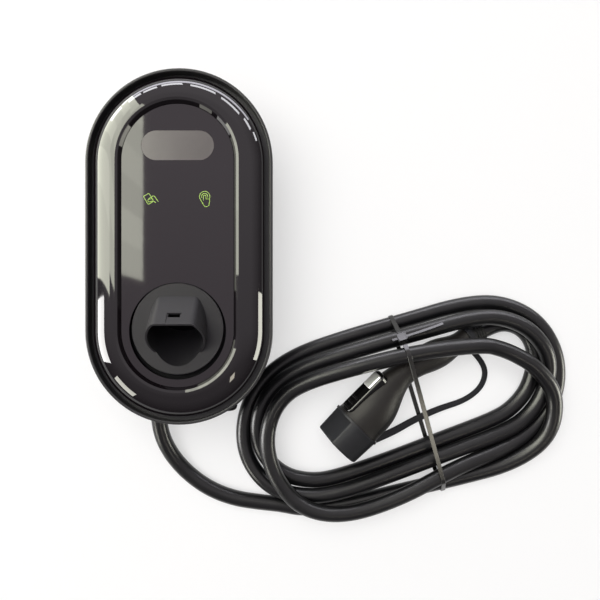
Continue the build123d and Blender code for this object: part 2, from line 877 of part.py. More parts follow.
def switch_pocket():
    return Pos(button_middle(), 0, switch_top - switch_size[2]) * Box(
        *switch_size[:2], 2 * switch_size[2], align=(Align.CENTER, Align.CENTER, Align.MIN)
    )


def grip_insert_room(gap=0.0):
    start, end = grip_insert
    return Pos((start + end) / 2, 0, grip_split + gap) * Box(
        end - start + 2 * gap, far, far, align=(Align.CENTER, Align.CENTER, Align.MAX)
    )


def relief_spigot(gap=0.0):
    seat = Plane((grip_length, 0, 0), x_dir=(0, 1, 0), z_dir=(-1, 0, 0))
    return handle_place * extrude(seat * Circle(relief_seat_radius + gap), relief_seat)


def plug_shells():
    """The left and right halves of the hand grip, parted on its middle plane."""
    body = grip_solid()
    body -= extrude(nose_plane * nose_outline(nose_gap), -nose_seat)
    body -= top_insert_block(insert_gap) + switch_pocket()
    body -= grip_insert_room(insert_gap)
    body -= relief_spigot()
    half = Box(4 * far, far, 2 * far, align=(Align.CENTER, Align.MIN, Align.CENTER))
    left = body & half
    right = body & Rot(0, 0, 180) * half
    return plug_place * left, plug_place * right


def plug_grip():
    return plug_place * (grip_solid() & grip_insert_room())


def strain_relief():
    seat = Plane((grip_length, 0, 0), x_dir=(0, 1, 0), z_dir=(1, 0, 0))
    middle = (relief_front_radius + relief_end_radius) / 2
    taper = Cone(
        relief_front_radius, relief_end_radius, relief_length, align=(Align.CENTER, Align.CENTER, Align.MIN)
    )
    body = seat * taper
    pitch = (relief_length - strap_ring_at - strap_ring_width) / relief_grooves
    for groove in range(relief_grooves):
        at = strap_ring_at + strap_ring_width + (groove + 0.5) * pitch
        ring = seat.offset(at) * (
            Cylinder(far / 10, relief_groove[0]) - Cylinder(middle - relief_groove[1], relief_groove[0])
        )
        body -= ring
    return plug_place * (handle_place * body + relief_spigot())


def dust_cap():
    rim = nose_plane
    length = cap_length
    flat_drop = nose_radius - nose_flat
    front = d_outline(cap_front_radius, cap_front_radius - flat_drop, nose_corner)
    back = d_outline(cap_rim_radius - cap_wall / 2, cap_rim_radius - cap_wall / 2 - flat_drop, nose_corner)
    start = insert_gap - barrel_start + cap_rim_thick
    body = loft([rim.offset(length) * front, rim.offset(start) * back])
    body = fillet(body.edges().group_by(Axis.X)[0], cap_edge)
    lip = extrude(rim.offset(insert_gap - barrel_start) * Circle(cap_rim_radius), cap_rim_thick)
    tab_x = barrel_start - insert_gap - cap_rim_thick / 2
    tab = Pos(tab_x, 0, -cap_rim_radius) * Box(cap_rim_thick, *cap_tab)
    body += lip + tab
    room = extrude(rim.offset(-far / 10) * nose_outline(cap_gap), far / 10 + nose_front + cap_gap)
    return plug_place * (body - room)


def strap_ring():
    inner = relief_front_radius + insert_gap
    seat = Plane((grip_length + strap_ring_at, 0, 0), x_dir=(0, 1, 0), z_dir=(1, 0, 0))
    ring = Cylinder(inner + strap_ring_thick, strap_ring_width) - Cylinder(inner, strap_ring_width)
    return plug_place * handle_place * (seat * ring)


def strap_band(grow=0.0):
    path = cord_path(strap_route)
    start = Plane(path @ 0, x_dir=Vector(0, 0, 1).cross(path % 0), z_dir=path % 0)
    return sweep(start * Rectangle(strap_width + 2 * grow, strap_thick + 2 * grow), path)


def cap_strap():
    return strap_band() + strap_ring()


def plug_envelope():
    """The plug and strap with a little room round them, to clear the coil that lies over them."""
    seat = Plane((grip_length, 0, 0), x_dir=(0, 1, 0), z_dir=(1, 0, 0))
    tail = seat * Cone(
        relief_front_radius + strap_ring_thick + 2 * cable_gap,
        relief_end_radius + 2 * cable_gap,
        relief_length,
        align=(Align.CENTER, Align.CENTER, Align.MIN),
    )
    ring_radius = relief_front_radius + strap_ring_thick + 3 * cable_gap
    ring = seat.offset(strap_ring_at) * Cylinder(ring_radius, 2 * strap_ring_width)
    button = button_room(3 * cable_gap, top_insert_floor, button_top + 2 * cable_gap)
    top = top_insert_block(2 * cable_gap) + button
    plug = grip_solid(3 * cable_gap) + top + handle_place * (tail + ring)
    return plug_place * plug + strap_band(2 * cable_gap)


def coil_hump():
    """The arch of the turns that pass over the plug's handle."""
    (x0, y0, _), (x1, y1, _) = coil_outer
    heading = math.degrees(math.atan2(y1 - y0, x1 - x0))
    base = coil_height - coil_top_edge
    arch = ThreePointArc((-hump_length / 2, base), (0, hump_height), (hump_length / 2, base))
    face = make_face(arch + Line(arch @ 1, arch @ 0))
    block = extrude(Plane.XZ * face, hump_width / 2, both=True)
    block = fillet(block.edges().filter_by(GeomType.CIRCLE), hump_edge)
    return Pos(*hump_centre) * Rot(0, 0, heading) * block


def tie_frame():
    heading = math.radians(tie_heading)
    return Plane(
        (*tie_centre, 0),
        x_dir=(math.cos(heading), math.sin(heading), 0),
        z_dir=(math.sin(heading), -math.cos(heading), 0),
    )


def tie_loop_face(grow):
    loop = polygon(tie_loop)
    return fillet(offset(loop, grow, kind=Kind.INTERSECTION).vertices(), tie_corner + grow)


def cable_tie():
    frame = tie_frame()
    band = extrude(frame * (tie_loop_face(tie_thick) - tie_loop_face(0)), tie_width / 2, both=True)
    top = tie_loop[2][1] + tie_thick
    head_place = frame * Pos(tie_head_at, top + tie_head[2] / 2 - tie_thick, 0)
    head = head_place * Box(tie_head[0], tie_head[2], tie_head[1])
    tail = head_place * Pos(0, tie_thick, 0) * Box(tie_width, tie_thick, tie_head[1] + 2 * tie_tail)
    return band + head + tail


def cable_coil():
    ring = extrude(hull_of(coil_outer) - hull_of(coil_inner), coil_height)
    ring = fillet(ring.edges().group_by(Axis.Z)[-1], coil_top_edge)
    ring = fillet(ring.edges().group_by(Axis.Z)[0], coil_bottom_edge)
    body = ring + coil_hump()
    body -= plug_envelope()
    body -= cord_tube(lead_floor[-4:], cable_radius + cable_gap)
    channel_height = 2 * (tie_loop[0][1] + tie_gap)
    channel = tie_frame() * Box(4 * tie_half_length, channel_height, tie_width + 2 * tie_gap)
    return body - channel


def cable_lead():
    return cord_tube(lead_route, cable_radius)


def write(name, *solids):
    shape = solids[0] if len(solids) == 1 else Compound(children=list(solids))
    export_step(shape, f"parts/{name}.step")


def main():
    os.makedirs("parts", exist_ok=True)
    print("lead radii", [round(r) for r in arc_radii(lead_route)])
    path = cord_path(lead_route)
    tube = cable_lead()
    full = math.pi * cable_radius**2 * path.length
    print("lead length", round(path.length, 1), "volume ratio", round(tube.volume / full, 4))
    left, right = plug_shells()
    write("back_shell", back_shell())
    write("shell_gasket", shell_gasket())
    write("front_frame", front_frame())
    write("front_cover", front_cover())
    write("front_panel", front_panel())
    write("display_lens", display_lens())
    write("display_module", display_module())
    write("control_board", control_board())
    write("control_board_screws", *control_board_screws())
    write("rfid_antenna", rfid_antenna())
    write("touch_pad", touch_pad())
    write("holster", holster())
    write("holster_screws", *holster_screws())
    write("case_screws", *case_screws())
    write("main_board", main_board())
    write("main_board_screws", *main_board_screws())
    write("supply_terminals", terminal_block(terminal_x))
    write("outlet_terminals", terminal_block(-terminal_x))
    write("relays", *relays())
    write("leakage_sensor", leakage_sensor())
    write("varistors", *varistors())
    write("power_supply", power_supply())
    write("ribbon_cable", ribbon_cable())
    for name, plane in gland_planes.items():
        bore = supply_bore_radius if name == "supply" else cable_radius
        write(f"{name}_gland_body", gland_body(plane))
        write(f"{name}_gland_seal", gland_seal(plane, bore))
        write(f"{name}_gland_nut", gland_nut(plane))
    write("gland_locknuts", *gland_locknuts())
    write("outlet_wires", *outlet_wires())
    write("cable_lead", tube)
    write("cable_coil", floor_place * cable_coil())
    write("cable_tie", floor_place * cable_tie())
    write("plug_nose", floor_place * plug_nose())
    write("plug_contacts", *[floor_place * pin for pin in plug_contacts()])
    write("plug_shell_left", floor_place * left)
    write("plug_shell_right", floor_place * right)
    write("plug_grip", floor_place * plug_grip())
    write("plug_top_insert", floor_place * plug_top_insert())
    write("thumb_button", floor_place * thumb_button())
    write("button_switch", floor_place * button_switch())
    write("strain_relief", floor_place * strain_relief())
    write("dust_cap", floor_place * dust_cap())
    write("cap_strap", floor_place * cap_strap())


main()
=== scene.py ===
import json
import math
import bmesh
import bpy
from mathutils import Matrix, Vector


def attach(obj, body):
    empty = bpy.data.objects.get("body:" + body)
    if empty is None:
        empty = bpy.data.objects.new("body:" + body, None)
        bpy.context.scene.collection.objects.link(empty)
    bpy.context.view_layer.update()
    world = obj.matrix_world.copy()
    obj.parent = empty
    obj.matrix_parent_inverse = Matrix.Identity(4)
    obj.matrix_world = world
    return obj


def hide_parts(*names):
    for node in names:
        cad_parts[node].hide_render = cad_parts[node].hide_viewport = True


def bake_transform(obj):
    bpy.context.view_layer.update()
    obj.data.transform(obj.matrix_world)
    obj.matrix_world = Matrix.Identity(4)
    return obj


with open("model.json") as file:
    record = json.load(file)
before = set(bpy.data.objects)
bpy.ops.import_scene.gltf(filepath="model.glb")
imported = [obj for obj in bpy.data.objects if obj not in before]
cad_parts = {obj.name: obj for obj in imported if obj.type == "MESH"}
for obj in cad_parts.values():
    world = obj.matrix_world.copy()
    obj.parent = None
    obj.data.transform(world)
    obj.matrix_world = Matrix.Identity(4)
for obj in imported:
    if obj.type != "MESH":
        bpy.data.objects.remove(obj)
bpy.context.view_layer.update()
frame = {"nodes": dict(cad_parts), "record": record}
nodes = frame["nodes"]
print("frame loaded,", len(nodes), "nodes")
mm = 0.001
smoothAngle = math.radians(35)  # faces that meet more sharply keep a crease
mergeDistance = 1e-6


class Wire:  # one output socket, so that + - * write Math nodes
    def __init__(self, board, socket):
        self.board = board
        self.socket = socket

    def mathNode(self, operation, first, second):
        return self.board.add("ShaderNodeMath", {"operation": operation}, {0: first, 1: second}).out()

    def __add__(self, other):
        return self.mathNode("ADD", self, other)

    def __radd__(self, other):
        return self.mathNode("ADD", other, self)

    def __sub__(self, other):
        return self.mathNode("SUBTRACT", self, other)

    def __rsub__(self, other):
        return self.mathNode("SUBTRACT", other, self)

    def __mul__(self, other):
        return self.mathNode("MULTIPLY", self, other)


class Added:  # a node just added, and its outputs as wires
    def __init__(self, board, node):
        self.board = board
        self.node = node

    def out(self, name=0):
        return Wire(self.board, self.node.outputs[name])


class Board:  # a node tree, and the one way to add to it
    def __init__(self, tree):
        self.tree = tree
        tree.nodes.clear()

    def add(self, kind, settings=None, sockets=None):
        node = self.tree.nodes.new(kind)
        for key, value in (settings or {}).items():
            setattr(node, key, value)
        for key, value in (sockets or {}).items():
            for single in value if isinstance(value, list) and isinstance(value[0], Wire) else [value]:
                if isinstance(single, Wire):
                    self.tree.links.new(single.socket, node.inputs[key])
                else:
                    node.inputs[key].default_value = single
        return Added(self, node)

    def place(self):
        return self.add("ShaderNodeTexCoord").out("Object")

    def noise(self, scale, detail=3.0, rough=0.55, stretch=None):
        where = self.place()
        if stretch:
            where = self.add("ShaderNodeMapping", None, {"Vector": where, "Scale": stretch}).out()
        sockets = {"Vector": where, "Scale": scale, "Detail": detail, "Roughness": rough}
        return self.add("ShaderNodeTexNoise", None, sockets).out(0)

    def ranged(self, value, low, high, first=0.0, second=1.0):
        sockets = {"Value": value, "From Min": low, "From Max": high, "To Min": first, "To Max": second}
        return self.add("ShaderNodeMapRange", None, sockets).out()

    def blendColor(self, factor, first, second):
        return self.add("ShaderNodeMix", {"data_type": "RGBA"}, {0: factor, 6: first, 7: second}).out(2)

    def bump(self, height, strength, distance):
        sockets = {"Height": height, "Strength": strength, "Distance": distance}
        return self.add("ShaderNodeBump", None, sockets).out()


class Finish(Board):  # one material
    def __init__(self, name):
        self.material = bpy.data.materials.new(name)
        self.material.use_nodes = True
        super().__init__(self.material.node_tree)

    def principled(self, sockets):
        return self.add("ShaderNodeBsdfPrincipled", None, sockets).out()

    def surface(self, sockets):
        return self.closed(self.principled(sockets))

    def mixed(self, factor, first, second):
        return self.closed(self.add("ShaderNodeMixShader", None, {0: factor, 1: first, 2: second}).out())

    def closed(self, shader):
        self.add("ShaderNodeOutputMaterial", None, {0: shader})
        return self.material


def opaque(color, share=1.0):
    return [c * share for c in color] + [1.0]


def moulded(name, color, rough, grain, bump, spread=0.25, specular=0.3):  # spark-eroded plastic
    f = Finish(name)
    cloudy = f.noise(38.0, 4.0)
    fine = f.noise(grain, 2.0, 0.6)
    scuffed = f.ranged(f.noise(11.0, 6.0, 0.68), 0.56, 0.74)  # a few worn patches
    tone = cloudy * 0.5 + fine * 0.3 + scuffed * 0.3
    return f.surface({
        "Base Color": f.blendColor(tone, opaque(color, 1 - spread), opaque(color, 1 + spread)),
        "Roughness": rough - 0.06 + cloudy * 0.08 + fine * 0.06 - scuffed * 0.05,
        "Specular IOR Level": specular,
        "Normal": f.bump(fine, bump, 0.0004),
    })


def glossy(name, color, rough, ripple, specks=0.0):  # polished plastic
    f = Finish(name)
    wave = f.noise(26.0, 2.0)  # slow ripple of a moulded gloss face
    dust = f.ranged(f.noise(2600.0, 1.0), 0.72, 0.8)
    wiped = f.ranged(f.noise(14.0, 5.0, 0.6, (1.0, 0.35, 1.0)), 0.5, 0.75)
    speck = opaque([c + 0.03 for c in color])
    return f.surface({
        "Base Color": f.blendColor(dust * specks, opaque(color), speck),
        "Roughness": rough + wiped * 0.03 + dust * (specks * 0.2),
        "Normal": f.bump(wave, ripple, 0.0006),
    })


def plated(name, color, rough):
    f = Finish(name)
    brushed = f.noise(420.0, 4.0, 0.6)
    return f.surface({
        "Base Color": f.blendColor(brushed, opaque(color, 0.86), opaque(color)),
        "Metallic": 1.0,
        "Roughness": rough + brushed * 0.12,
        "Normal": f.bump(brushed, 0.05, 0.0002),
    })


def sheath(name):  # cable sheath, a satin rubber with rubbed patches
    f = Finish(name)
    cloudy = f.noise(22.0, 4.0)
    fine = f.noise(900.0, 2.0)
    rubbed = f.ranged(f.noise(9.0, 5.0, 0.65), 0.5, 0.72)
    dust = f.ranged(f.noise(1900.0, 1.0), 0.7, 0.78)
    dark, pale = (0.0022, 0.0022, 0.0028, 1.0), (0.006, 0.006, 0.0068, 1.0)
    tone = f.blendColor(rubbed * 0.6 + cloudy * 0.3, dark, pale)
    return f.surface({
        "Base Color": f.blendColor(dust * 0.35, tone, (0.03, 0.03, 0.03, 1.0)),
        "Roughness": 0.25 + cloudy * 0.08 + rubbed * 0.1,
        "Specular IOR Level": 0.38,
        "Normal": f.bump(fine, 0.12, 0.0003),
    })


def smokedWindow(name):
    f = Finish(name)
    cloudy = f.noise(60.0, 3.0)
    return f.surface({
        "Base Color": f.blendColor(cloudy, (0.084, 0.074, 0.071, 1.0), (0.1, 0.089, 0.086, 1.0)),
        "Roughness": 0.16 + cloudy * 0.06,
        "Normal": f.bump(f.noise(700.0, 2.0), 0.03, 0.0002),
    })


# holster: its leaning socket and the groove round its disc, each edge as where the painted shade starts and is full
socket = {
    "middle": (-0.0932, 0.1138),  # the mouth's middle, along the case and up
    "slope": 0.7071,
    "radius": (0.0274, 0.0266),
    "top": (0.0198, 0.0192),
    "discMiddle": -0.0822,
    "grooveRadius": (0.0452, 0.0456),
    "grooveTop": (0.1005, 0.0985),
}


def holsterPlasticWithPaintedShade(name, color):  # moulded plastic, with painted shade: near black down in the socket and in the groove
    f = Finish(name)
    where = f.add("ShaderNodeSeparateXYZ", None, {0: f.place()})
    across, along, high = where.out("X"), where.out("Y"), where.out("Z")
    slope = socket["slope"]
    fromMouth = along * slope + high * slope - sum(socket["middle"]) * slope  # up the mouth from its middle
    reach = across * across + fromMouth * fromMouth
    socketShadeMask = f.ranged(reach, *(r ** 2 for r in socket["radius"])) * f.ranged(fromMouth, *socket["top"])
    fromDisc = along - socket["discMiddle"]
    reach = across * across + fromDisc * fromDisc
    grooveShadeMask = f.ranged(reach, *(r ** 2 for r in socket["grooveRadius"])) * f.ranged(high, *socket["grooveTop"])
    # painted shade: the socket's inside and the groove round the disc are masked as shaded
    paintedShadeMask = socketShadeMask.mathNode("MAXIMUM", socketShadeMask, grooveShadeMask)
    cloudy = f.noise(38.0, 4.0)
    fine = f.noise(1000.0, 2.0, 0.6)
    shared = {"Roughness": 0.46 + cloudy * 0.08 + fine * 0.06, "Normal": f.bump(fine, 0.3, 0.0004)}
    plainFinish = f.principled({
        "Base Color": f.blendColor(cloudy * 0.6 + fine * 0.4, opaque(color, 0.8), opaque(color, 1.2)),
        "Specular IOR Level": 0.18,
        **shared,
    })
    # a near-black copy of the plastic, painted as the shade down in the socket and the groove
    paintedShadeFinish = f.principled({
        "Base Color": f.blendColor(fine, (0.0012, 0.0012, 0.0016, 1.0), (0.002, 0.002, 0.0026, 1.0)),
        "Specular IOR Level": 0.06,
        **shared,
    })
    return f.mixed(paintedShadeMask, plainFinish, paintedShadeFinish)


def printed(name, color):
    f = Finish(name)
    fine = f.noise(3000.0, 2.0)
    return f.surface({
        "Base Color": f.blendColor(fine, opaque(color, 0.85), opaque(color)),
        "Roughness": 0.35 + fine * 0.1,
    })


def circuit(name):
    f = Finish(name)
    black, white = (0, 0, 0, 1), (1, 1, 1, 1)
    tracks = f.add("ShaderNodeTexBrick", None, {
        "Vector": f.place(), "Scale": 60.0, "Mortar Size": 0.03,
        "Color1": black, "Color2": black, "Mortar": white,
    }).out("Fac")
    fine = f.noise(300.0, 3.0)
    tone = tracks * 0.5 + fine * 0.2
    return f.surface({
        "Base Color": f.blendColor(tone, (0.012, 0.085, 0.035, 1.0), (0.05, 0.2, 0.09, 1.0)),
        "Roughness": 0.35 + fine * 0.2,
        "Normal": f.bump(tracks, 0.2, 0.0002),
    })


finishes = {
    "shell_black": moulded("shellBlack", (0.011, 0.011, 0.0115), 0.5, 900.0, 0.3),
    "frame_black": moulded("frameBlack", (0.0185, 0.018, 0.0195), 0.32, 1100.0, 0.12),
    "cover_gloss": glossy("coverGloss", (0.0062, 0.0046, 0.0058), 0.025, 0.02),
    "panel_gloss": glossy("panelGloss", (0.0125, 0.009, 0.0115), 0.03, 0.03, 0.3),
    "lens_smoke": smokedWindow("lensSmoke"),
    # the holster's plastic carries painted shade in its socket and groove
    "holster_grey": holsterPlasticWithPaintedShade("holsterGrey", (0.0158, 0.0148, 0.0172)),
    "rubber_black": moulded("rubberBlack", (0.008, 0.008, 0.008), 0.6, 600.0, 0.25),
    "gland_black": moulded("glandBlack", (0.009, 0.009, 0.009), 0.42, 800.0, 0.15),
    "cable_rubber": sheath("cableRubber"),
    "tie_nylon": glossy("tieNylon", (0.009, 0.009, 0.008), 0.17, 0.05),
    "plug_black": moulded("plugBlack", (0.0125, 0.011, 0.0102), 0.44, 1000.0, 0.3, 0.25, 0.2),
    "grip_black": moulded("gripBlack", (0.0042, 0.0042, 0.0044), 0.55, 700.0, 0.4, 0.25, 0.2),
    "insert_gloss": glossy("insertGloss", (0.003, 0.003, 0.003), 0.14, 0.03),
    "button_chrome": plated("buttonChrome", (0.95, 0.95, 0.95), 0.38),
    "cap_rubber": moulded("capRubber", (0.0092, 0.0095, 0.0118), 0.5, 700.0, 0.25, 0.25, 0.22),
    "contact_silver": plated("contactSilver", (0.76, 0.75, 0.72), 0.22),
    "screw_steel": plated("screwSteel", (0.55, 0.55, 0.56), 0.28),
    "board_green": circuit("boardGreen"),
    "module_dark": moulded("moduleDark", (0.022, 0.022, 0.024), 0.5, 700.0, 0.2),
    "terminal_grey": moulded("terminalGrey", (0.33, 0.34, 0.34), 0.5, 600.0, 0.2, 0.1, 0.5),
    "varistor_blue": moulded("varistorBlue", (0.03, 0.075, 0.28), 0.35, 300.0, 0.2, 0.15, 0.5),
    "foam_grey": moulded("foamGrey", (0.28, 0.28, 0.28), 0.8, 500.0, 0.5, 0.15),
    "wire_brown": moulded("wireBrown", (0.11, 0.05, 0.022), 0.5, 500.0, 0.15, 0.2, 0.5),
}
slotOf = {part["node"]: part["material_slot"] for part in frame["record"]["subparts"]}
for nodeName, nodeObject in nodes.items():
    nodeObject.data.materials.clear()
    nodeObject.data.materials.append(finishes[slotOf[nodeName]])
print("finishes set:", len(finishes))


def pieceFrom(name, data, slot, finish=None):
    piece = bpy.data.objects.new(name, data)
    bpy.context.collection.objects.link(piece)
    data.materials.clear()
    data.materials.append(finish or finishes[slot])
    return piece


def evaluatedMesh(carrier):
    return bpy.data.meshes.new_from_object(carrier.evaluated_get(bpy.context.evaluated_depsgraph_get()))


def meshFrom(name, work, smooth=True):  # what was drawn, as a finished mesh
    bmesh.ops.recalc_face_normals(work, faces=work.faces)
    mesh = bpy.data.meshes.new(name)
    work.to_mesh(mesh)
    work.free()
    if smooth:
        for face in mesh.polygons:
            face.use_smooth = True
        mesh.set_sharp_from_angle(angle=smoothAngle)
    return mesh


def skin(work, rings, closed):  # faces from ring to ring, and caps on an open run
    pairs = list(zip(rings, rings[1:])) + ([(rings[-1], rings[0])] if closed else [])
    for first, second in pairs:
        for j in range(len(first)):
            n = (j + 1) % len(first)
            work.faces.new((first[j], first[n], second[n], second[j]))
    if not closed:
        work.faces.new(rings[0])
        work.faces.new(rings[-1][::-1])


def growTree(name, sizes):  # a Geometry Nodes tree with named inputs for its sizes
    tree = bpy.data.node_groups.new(name, "GeometryNodeTree")
    tree.interface.new_socket("Geometry", in_out="OUTPUT", socket_type="NodeSocketGeometry")
    tree.interface.new_socket("Geometry", in_out="INPUT", socket_type="NodeSocketGeometry")
    tree.interface.new_socket("Finish", in_out="INPUT", socket_type="NodeSocketMaterial")
    for label in sizes:
        kind = "NodeSocketInt" if label.endswith("Count") else "NodeSocketFloat"
        tree.interface.new_socket(label, in_out="INPUT", socket_type=kind)
    board = Board(tree)
    return board, board.add("NodeGroupInput")


def closeTree(board, start, geometry):
    whole = board.add("GeometryNodeRealizeInstances", None, {"Geometry": geometry}).out()
    sockets = {"Geometry": whole, "Material": start.out("Finish")}
    dressed = board.add("GeometryNodeSetMaterial", None, sockets).out()
    board.add("NodeGroupOutput", None, {"Geometry": dressed})
    return board


def railCurve(board, start):  # the carrier's edges as one curve
    line = board.add("GeometryNodeMeshToCurve", None, {"Mesh": start.out("Geometry")}).out()
    return board.add("GeometryNodeSetCurveNormal", {"mode": "Z_UP"}, {"Curve": line}).out()


def grow(name, board, sizes, slot, spots, edges=()):  # the tree on a few points, made a plain mesh
    base = bpy.data.meshes.new(name + "Base")
    base.from_pydata([tuple(spot) for spot in spots], list(edges), [])
    carrier = bpy.data.objects.new(name + "Base", base)
    bpy.context.collection.objects.link(carrier)
    modifier = carrier.modifiers.new("grow", "NODES")
    modifier.node_group = board.tree
    for item in board.tree.interface.items_tree:
        if item.in_out == "INPUT" and item.name != "Geometry":
            modifier[item.identifier] = finishes[slot] if item.name == "Finish" else sizes[item.name]
    grown = evaluatedMesh(carrier)
    bpy.data.objects.remove(carrier)
    work = bmesh.new()
    work.from_mesh(grown)
    bpy.data.meshes.remove(grown)
    bmesh.ops.remove_doubles(work, verts=work.verts, dist=mergeDistance)
    return pieceFrom(name, meshFrom(name, work), slot)


def routeCurve(name, points, radius=0.0):
    data = bpy.data.curves.new(name, "CURVE")
    data.dimensions = "3D"
    spline = data.splines.new("NURBS")
    spline.points.add(len(points) - 1)
    for point, place in zip(spline.points, points):
        point.co = (*place, 1.0)
    spline.order_u = 3
    spline.use_endpoint_u = True
    data.resolution_u = 8
    data.bevel_depth = radius
    data.bevel_resolution = 6
    data.use_fill_caps = True
    return data


def routeLine(points):  # points along a route's own smooth line
    helper = bpy.data.objects.new("routeLine", routeCurve("routeLine", points))
    bpy.context.collection.objects.link(helper)
    mesh = evaluatedMesh(helper)
    line = [v.co.copy() for v in mesh.vertices]
    bpy.data.objects.remove(helper)
    bpy.data.meshes.remove(mesh)
    return line


# charging cable: the lead out of the gland, nearly three and a half turns, then the plug's tail
cable = {
    "radius": 0.00875,
    "lead": [
        (-0.036, -0.156, 0.028), (-0.036, -0.172, 0.028), (-0.0336, -0.201, 0.022), (-0.0222, -0.227, 0.0135),
        (-0.0032, -0.2488, 0.009), (0.0208, -0.265, 0.00875), (0.0481, -0.2749, 0.00875),
        (0.0769, -0.2789, 0.00875), (0.1, -0.2812, 0.00875),
    ],
    "tail": [
        (0.3879, -0.1197, 0.00875), (0.3865, -0.1038, 0.00875), (0.3804, -0.0901, 0.00875),
        (0.3693, -0.08, 0.00875), (0.3549, -0.0759, 0.00875), (0.34, -0.078, 0.0095), (0.321, -0.0873, 0.0135),
    ],
    "leftEnd": (0.142, -0.199),  # middles of the coil's two round ends
    "rightEnd": (0.33, -0.138),
    "turnRadius": 0.067,
    "straightSteps": 3,  # a turn's places along each straight, and round each end
    "endSteps": 6,
    "firstStep": 17,  # the place where the coil starts, counted from the lower left
    # each turn: how far out of the mean line it lies at each place, and how high, in mm
    "out": [
        (22.1, 21, 25.4, 30.9, 33, 27.4, 8, -17.5, -29.5, -31.5, -26, -12.5, -7.3, -6.2, -8.5, -9.5, -6.5, 1.5),
        (16.5, 27.5, 27.2, 16.1, 14.2, 14.6, 17.6, 20.7, 23.2, 21.7, 21.3, 23, 25.6, 24.6, 21, 20.5, 21, 16.8),
        (6.5, 3.9, 1.9, -1.2, -3.3, -2.8, 1, 6.8, 6, 4, 4.2, 6.6, 8.8, 9, 6.8, 5.1, 1.7, -4.3),
        (-10.7, -11.9, -12.9, -16.4, -19.5, -20.4, -15.5),
    ],
    "high": [
        (8.8, 8.8, 8.8, 10.3, 16.1, 23.2, 32, 39.4, 40.2, 42.9, 47.4, 52, 47.8, 39.8, 35.6, 34.9, 35, 35.5),
        (34.6, 30.2, 29, 23.2, 14.2, 9.4, 8.8, 8.9, 9.1, 9.3, 9.7, 10, 9.4, 9.2, 9.2, 9.7, 11.9, 16.1),
        (18.1, 18.8, 19.1, 18, 16.2, 15.3, 16.1, 22.9, 27.2, 28, 30.3, 31.7, 28.7, 24.7, 21.9, 19.2, 17.1, 14.1),
        (11.4, 9.9, 9.2, 8.8, 8.8, 8.8, 8.8),
    ],
}


def turnPlace(step):  # a place on the coil's mean line and the way out of it
    left, right = Vector(cable["leftEnd"]), Vector(cable["rightEnd"])
    straight, bend = cable["straightSteps"], cable["endSteps"]
    side, step = divmod(step % (2 * (straight + bend)), straight + bend)
    start, end = (right, left) if side else (left, right)
    middle = start.lerp(end, min(step / straight, 1.0))
    lean = math.atan2(end.y - start.y, end.x - start.x)
    turn = lean - math.pi / 2 + math.pi * max(step - straight, 0) / bend
    way = Vector((math.cos(turn), math.sin(turn)))
    return middle + way * cable["turnRadius"], way


cablePoints = list(cable["lead"])
for outs, highs in zip(cable["out"], cable["high"]):
    for count, (out, high) in enumerate(zip(outs, highs)):
        place, way = turnPlace(cable["firstStep"] + count)
        spot = place + way * out * mm
        cablePoints.append((spot.x, spot.y, high * mm))
cablePoints += cable["tail"]
cableCurve = routeCurve("chargingCable", cablePoints, cable["radius"])
chargingCable = pieceFrom("chargingCable", cableCurve, "cable_rubber")
cableLine = routeLine(cablePoints)
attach(chargingCable, "wallbox")
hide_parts("cable_lead", "cable_coil")

# strap of the dust cap, a flat band from the cap's flange to a ring on the plug's tail
strap = {
    "route": [
        (0.206, -0.207, 0.011), (0.226, -0.2, 0.0065), (0.249, -0.187, 0.0046), (0.279, -0.1735, 0.0034),
        (0.312, -0.1635, 0.002), (0.3325, -0.145, 0.0018), (0.333, -0.1205, 0.0026), (0.3126, -0.103, 0.0062),
    ],
    "band": {"Width": 0.0088, "Thickness": 0.002, "Edge": 0.0007, "End Share": 0.72, "Edge Count": 3},
    "narrowBy": 0.6,  # share of the length over which it narrows
    "capEnd": (0.206, -0.207, 0.011),  # the band's end at the cap's flange, and stillEnd a point further along it
    "stillEnd": (0.279, -0.1735, 0.0034),
    "ringRadius": (0.0126, 0.015),
    "ringWidth": 0.006,
    "ringEdge": 0.0006,
    "ringSteps": 64,
    "bend": (0.247861, -0.123039, 0.03),  # where the plug's handle starts, and its way to the tail
    "along": (0.8802, 0.4310, -0.1985),
    "ringAt": 0.070,
}


def strapTree():
    board, start = growTree("bandAlong", strap["band"])
    share = board.add("GeometryNodeSplineParameter").out("Factor")
    narrowing = board.ranged(share, 0.0, strap["narrowBy"], 1.0, start.out("End Share"))
    profile = board.add(
        "GeometryNodeCurvePrimitiveQuadrilateral", None,
        {"Width": start.out("Width"), "Height": start.out("Thickness")},
    ).out()
    profile = board.add(
        "GeometryNodeFilletCurve", {"mode": "POLY"},
        {"Curve": profile, "Count": start.out("Edge Count"), "Radius": start.out("Edge")},
    ).out()
    band = board.add(
        "GeometryNodeCurveToMesh", None,
        {"Curve": railCurve(board, start), "Profile Curve": profile, "Scale": narrowing, "Fill Caps": True},
    ).out()
    return closeTree(board, start, band)


def ringMesh(name, middle, along):
    side = along.orthogonal().normalized()
    up = along.cross(side)
    inner, outer = strap["ringRadius"]
    half, edge = strap["ringWidth"] / 2, strap["ringEdge"]
    profile = [
        (inner, -half), (outer - edge, -half), (outer, edge - half),
        (outer, half - edge), (outer - edge, half), (inner, half),
    ]
    work = bmesh.new()
    rings = []
    for k in range(strap["ringSteps"]):
        a = 2 * math.pi * k / strap["ringSteps"]
        way = side * math.cos(a) + up * math.sin(a)
        rings.append([work.verts.new(middle + way * r + along * s) for r, s in profile])
    skin(work, rings, True)
    return meshFrom(name, work)


strapLine = routeLine(strap["route"])
strapLinks = [(k, k + 1) for k in range(len(strapLine) - 1)]
capStrap = grow("capStrap", strapTree(), strap["band"], "cap_rubber", strapLine, strapLinks)
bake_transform(capStrap)
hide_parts("cap_strap")
tailWay = Vector(strap["along"]).normalized()
ringMiddle = Vector(strap["bend"]) + tailWay * strap["ringAt"]
strapRing = pieceFrom("strapRing", ringMesh("strapRing", ringMiddle, tailWay), "cap_rubber")
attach(strapRing, "wallbox")

